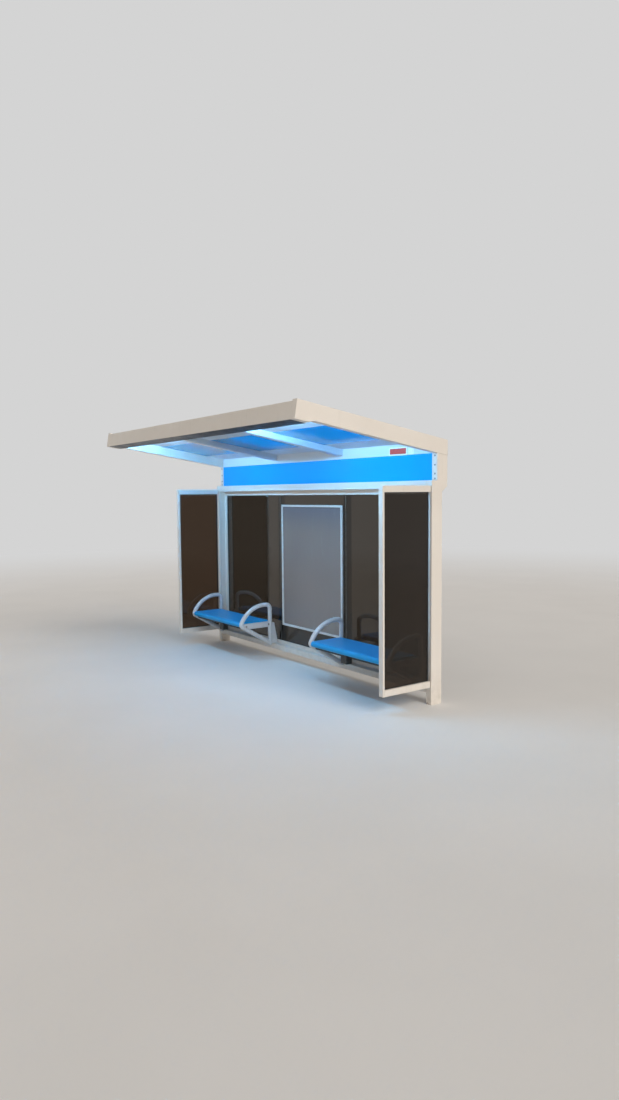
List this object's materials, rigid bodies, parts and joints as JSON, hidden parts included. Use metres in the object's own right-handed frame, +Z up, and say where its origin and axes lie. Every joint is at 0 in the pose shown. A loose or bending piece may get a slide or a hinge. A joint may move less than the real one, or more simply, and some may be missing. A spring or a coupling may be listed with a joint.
{
  "type": "bus shelter",
  "caption": "Roadside bus shelter with a cantilevered sloping roof, smoked glass back and side panels, a blank poster case, a plain blue sign band and benches with bent tube ends.",
  "frame": {"origin": "centre of the left post's foot, on the ground", "axes": "+X along the shelter to the right as seen from the road, +Y to the rear, +Z up"},
  "size_m": [3.956, 1.6794, 2.674],
  "materials": {
    "aluminium_frame": "satin anodised",
    "cover_grey": "weathered light grey sheet",
    "deck_blue": "satin blue paint",
    "frame_paint": "satin light grey powder coat, dusty and lightly worn at edges",
    "lamp": "milky diffuser",
    "poster_sheet": "scuffed grey sheet, bare",
    "seat_blue": "thick blue plastic coating on steel",
    "sign_blue": "gloss blue film, bare of any lettering",
    "smoked_glass": "smoked toughened glass"
  },
  "bodies": {
    "root": {"back_left_stile": "frame_paint", "back_low_rail": "frame_paint", "back_right_stile": "frame_paint", "back_top_rail": "frame_paint", "bottom_beam": "frame_paint", "deck_panel": "deck_blue", "front_beam": "frame_paint", "front_strip": "frame_paint", "header_rail": "frame_paint", "left_arm": "frame_paint", "left_bench_inner_end": "frame_paint", "left_bench_outer_end": "frame_paint", "left_carrier": "frame_paint", "left_lamp": "lamp", "left_mullion": "frame_paint", "left_pane": "smoked_glass", "left_post": "frame_paint", "left_rafter": "frame_paint", "left_seat": "seat_blue", "left_side_low_rail": "frame_paint", "left_side_pane": "smoked_glass", "left_side_stile": "frame_paint", "left_side_top_rail": "frame_paint", "middle_pane": "smoked_glass", "poster_frame": "aluminium_frame", "poster_sheet": "poster_sheet", "rear_beam": "frame_paint", "rear_strip": "frame_paint", "right_arm": "frame_paint", "right_bench_inner_end": "frame_paint", "right_bench_outer_end": "frame_paint", "right_carrier": "frame_paint", "right_lamp": "lamp", "right_mullion": "frame_paint", "right_pane": "smoked_glass", "right_post": "frame_paint", "right_rafter": "frame_paint", "right_seat": "seat_blue", "right_side_low_rail": "frame_paint", "right_side_pane": "smoked_glass", "right_side_stile": "frame_paint", "right_side_top_rail": "frame_paint", "roof_cover": "cover_grey", "sign_panel": "sign_blue"}
  },
  "joints": []
}
